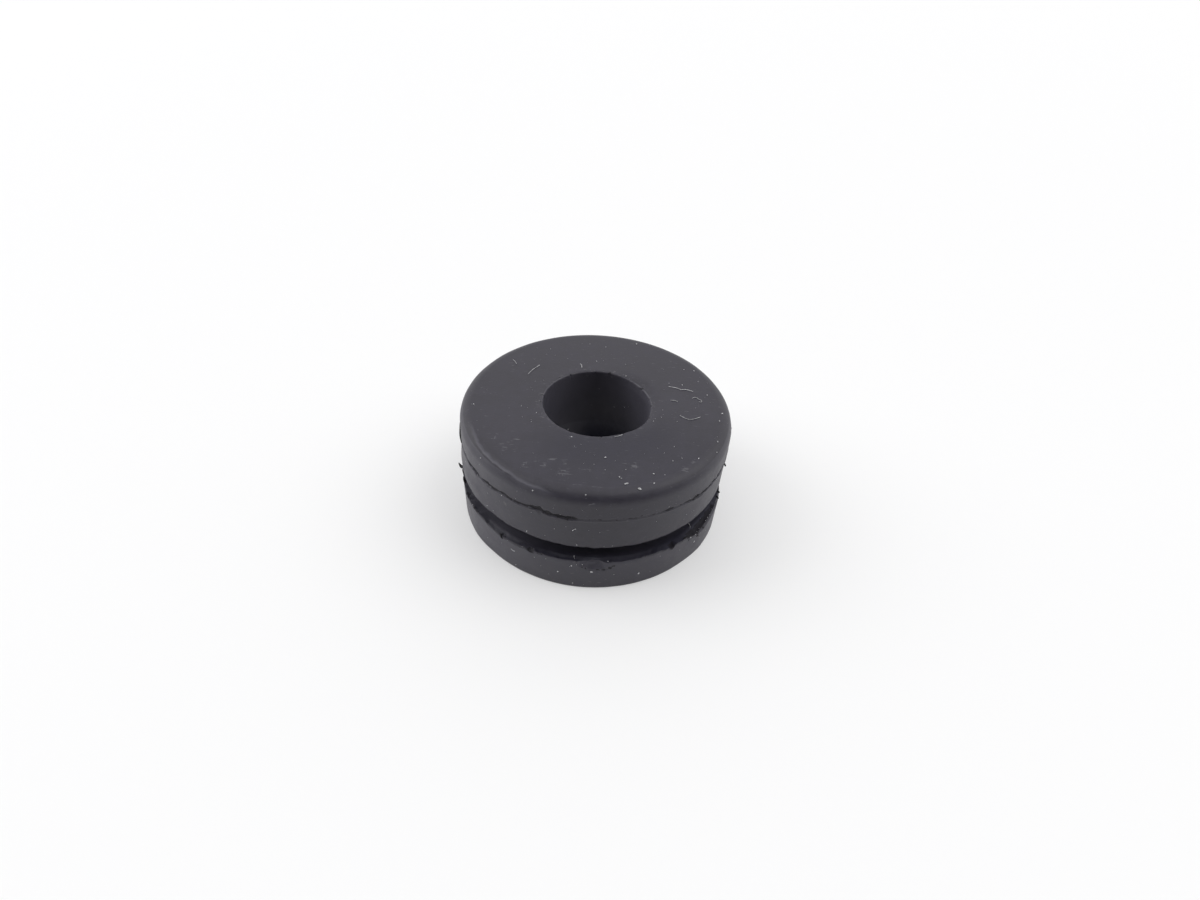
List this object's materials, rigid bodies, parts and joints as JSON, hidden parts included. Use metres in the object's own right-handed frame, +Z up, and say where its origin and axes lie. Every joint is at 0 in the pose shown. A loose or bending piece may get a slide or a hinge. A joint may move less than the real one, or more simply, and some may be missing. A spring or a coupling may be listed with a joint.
{
  "type": "rubber radiator mount",
  "caption": "Moulded black rubber grommet with a bore through its middle and a groove round its outside that holds a radiator bracket on a sleeve, damping vibration.",
  "frame": {"origin": "centre of the bottom face of the thinner flange, on the bore's axis", "axes": "+Z up along the bore's axis, from the thinner flange to the thicker one; -Y towards the large chip in the lower flange's edge"},
  "size_m": [0.0258, 0.0258, 0.0115],
  "materials": {
    "rubber": "matt black moulded rubber, dusty, with a torn parting line",
    "dust": "pale dust flecks and lint on the rubber"
  },
  "bodies": {
    "root": {"rubber_mount": "rubber"}
  },
  "joints": []
}
